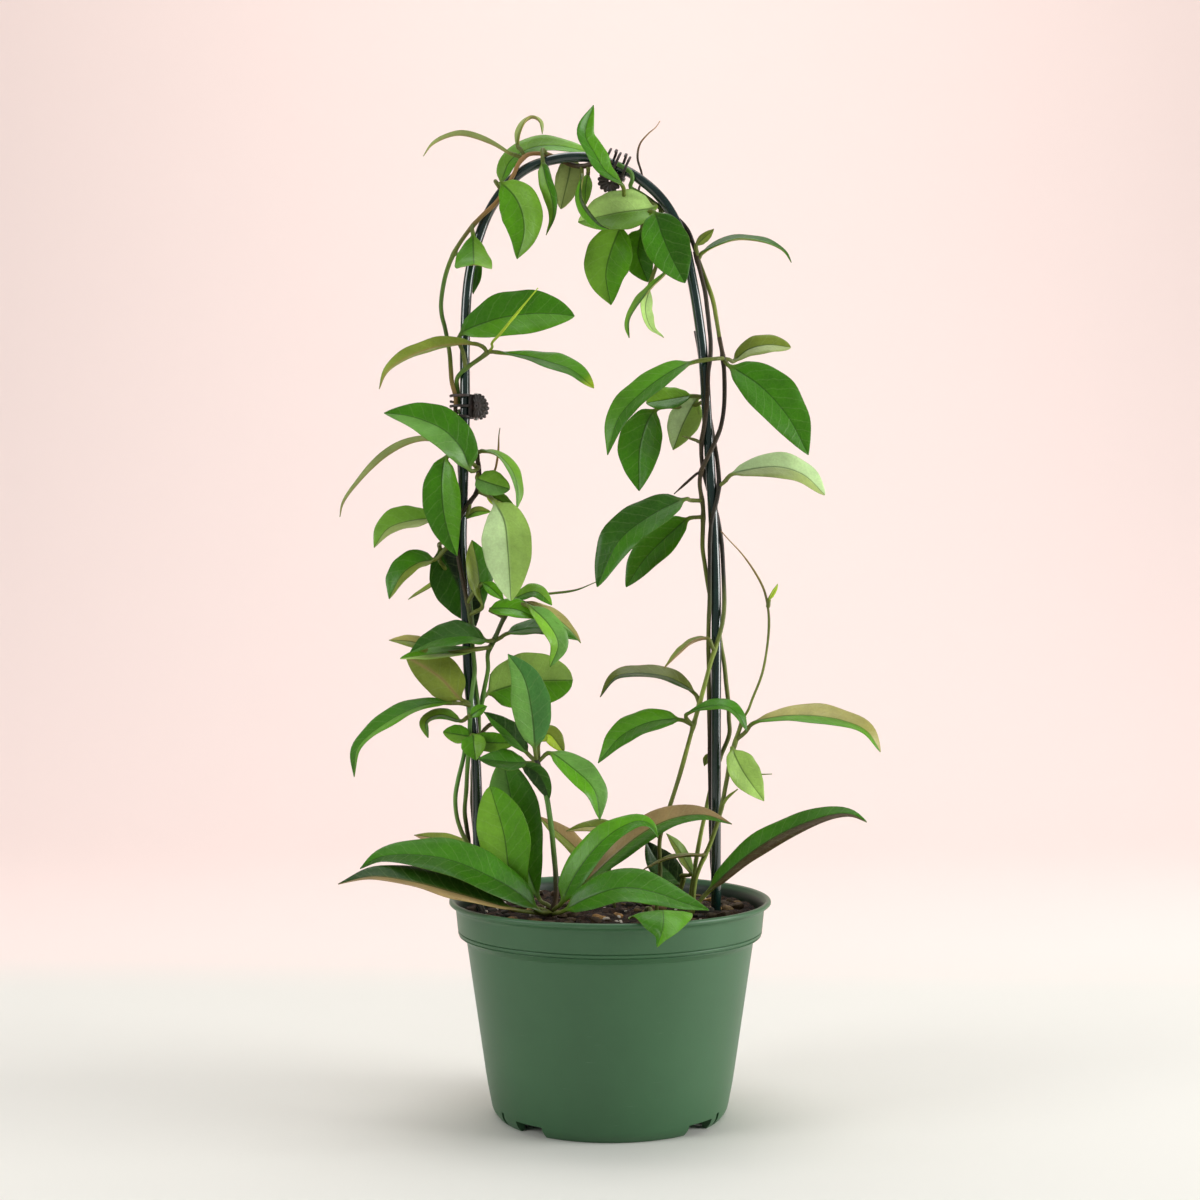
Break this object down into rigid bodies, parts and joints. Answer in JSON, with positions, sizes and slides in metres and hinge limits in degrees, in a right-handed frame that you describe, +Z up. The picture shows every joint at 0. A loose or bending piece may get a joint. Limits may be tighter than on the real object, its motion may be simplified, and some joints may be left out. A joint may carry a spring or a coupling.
{
  "type": "potted hoya crassipetiolata",
  "caption": "Climbing hoya with narrow pointed leaves, twined up a wire hoop in a stepped nursery pot, its vines held by small spring clips.",
  "frame": {"origin": "the pot's axis at the floor, under the foot ring", "axes": "+Z up along the pot's axis, -Y towards the viewer of the picture, +X to their right; the hoop stands in the plane Y = 0"},
  "size_m": [0.2702, 0.1748, 0.5004],
  "materials": {
    "pot_plastic": "satin",
    "potting_soil": "rough crumbs",
    "coated_wire": "gloss",
    "clip_plastic": "satin",
    "spring_wire": "drawn wire",
    "vine": "waxy leaf",
    "cutting": "waxy leaf"
  },
  "bodies": {
    "root": {"vine_left_low": "vine", "vine_left_middle": "vine", "vine_left_tall": "vine", "vine_left_high": "vine", "vine_arch_left": "vine", "vine_right_low": "vine", "vine_right_side": "vine", "vine_right_middle": "vine", "vine_arch_right": "vine", "vine_right_back": "vine", "cutting_centre": "cutting", "leaf_behind_left": "cutting", "cutting_behind": "cutting", "leaf_over_rim": "cutting", "cutting_right": "cutting", "leaf_right": "cutting", "pot": "pot_plastic", "soil": "potting_soil", "hoop": "coated_wire", "low_clip_front": "clip_plastic", "low_clip_pin": "spring_wire", "low_clip_spring": "spring_wire", "top_clip_front": "clip_plastic", "top_clip_pin": "spring_wire", "top_clip_spring": "spring_wire"},
    "low_clip_jaw": {"low_clip_back": "clip_plastic"},
    "top_clip_jaw": {"top_clip_back": "clip_plastic"}
  },
  "joints": [
    {"name": "low_clip_hinge", "type": "hinge", "parent": "root", "child": "low_clip_jaw", "pos_m": [-0.06687, 0, 0.35262], "axis": [-0.0048, 0, -1], "range_deg": [0, 35], "stiffness_Nm_per_rad": 0.004, "springref_deg": -45.84},
    {"name": "top_clip_hinge", "type": "hinge", "parent": "root", "child": "top_clip_jaw", "pos_m": [0.00133, 0.00367, 0.46929], "axis": [-0.9171, 0, 0.3988], "range_deg": [0, 35], "stiffness_Nm_per_rad": 0.004, "springref_deg": -45.84}
  ]
}
